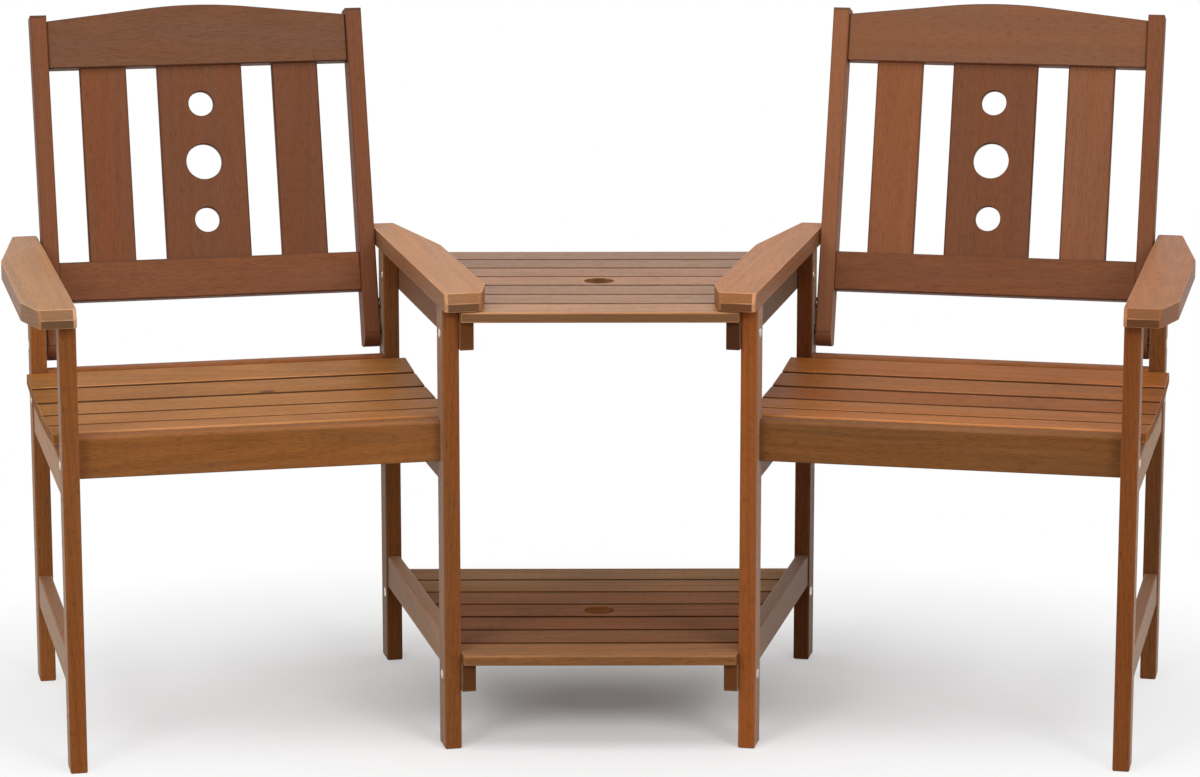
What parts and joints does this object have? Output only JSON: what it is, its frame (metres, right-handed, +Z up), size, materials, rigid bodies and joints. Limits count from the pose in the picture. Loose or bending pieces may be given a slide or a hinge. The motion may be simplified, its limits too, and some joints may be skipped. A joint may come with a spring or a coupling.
{
  "type": "companion seat bench",
  "caption": "Slatted hardwood companion seat with armchairs turned towards each other and joined by a wedge-shaped table with a lower shelf and parasol holes.",
  "frame": {"origin": "on the floor, in the middle of the bench's plan box", "axes": "+X to the sitter's left, the right of the picture, along the bench; +Y to the back; +Z up"},
  "size_m": [1.6314, 0.7436, 0.9247],
  "materials": {
    "frame_wood": "satin oil",
    "back_wood": "satin oil",
    "armrest_wood": "satin oil",
    "seat_wood": "satin oil",
    "table_wood": "satin oil",
    "shelf_wood": "satin oil",
    "bolt_steel": "zinc plated",
    "spacer_nylon": "matt"
  },
  "bodies": {
    "root": {"left_armrest_inner": "armrest_wood", "left_armrest_outer": "armrest_wood", "left_back_bolts": "bolt_steel", "left_back_lower_rail": "back_wood", "left_back_slat_inner": "back_wood", "left_back_slat_outer": "back_wood", "left_back_spacers": "spacer_nylon", "left_back_splat": "back_wood", "left_back_stile_inner": "back_wood", "left_back_stile_outer": "back_wood", "left_crest_rail": "back_wood", "left_frame_bolts": "bolt_steel", "left_front_leg_inner": "frame_wood", "left_front_leg_outer": "frame_wood", "left_rear_leg_inner": "frame_wood", "left_rear_leg_outer": "frame_wood", "left_seat_apron": "frame_wood", "left_seat_bearers": "frame_wood", "left_seat_rear_rail": "frame_wood", "left_seat_side_rail_inner": "frame_wood", "left_seat_side_rail_outer": "frame_wood", "left_seat_slats": "seat_wood", "left_shelf_bearer": "frame_wood", "left_stretcher_inner": "frame_wood", "left_stretcher_outer": "frame_wood", "left_table_bolts": "bolt_steel", "left_tabletop_bearer": "frame_wood", "right_armrest_inner": "armrest_wood", "right_armrest_outer": "armrest_wood", "right_back_bolts": "bolt_steel", "right_back_lower_rail": "back_wood", "right_back_slat_inner": "back_wood", "right_back_slat_outer": "back_wood", "right_back_spacers": "spacer_nylon", "right_back_splat": "back_wood", "right_back_stile_inner": "back_wood", "right_back_stile_outer": "back_wood", "right_crest_rail": "back_wood", "right_frame_bolts": "bolt_steel", "right_front_leg_inner": "frame_wood", "right_front_leg_outer": "frame_wood", "right_rear_leg_inner": "frame_wood", "right_rear_leg_outer": "frame_wood", "right_seat_apron": "frame_wood", "right_seat_bearers": "frame_wood", "right_seat_rear_rail": "frame_wood", "right_seat_side_rail_inner": "frame_wood", "right_seat_side_rail_outer": "frame_wood", "right_seat_slats": "seat_wood", "right_shelf_bearer": "frame_wood", "right_stretcher_inner": "frame_wood", "right_stretcher_outer": "frame_wood", "right_table_bolts": "bolt_steel", "right_tabletop_bearer": "frame_wood", "shelf_hole_slat": "shelf_wood", "shelf_slats": "shelf_wood", "tabletop_hole_slat": "table_wood", "tabletop_slats": "table_wood"}
  },
  "joints": []
}
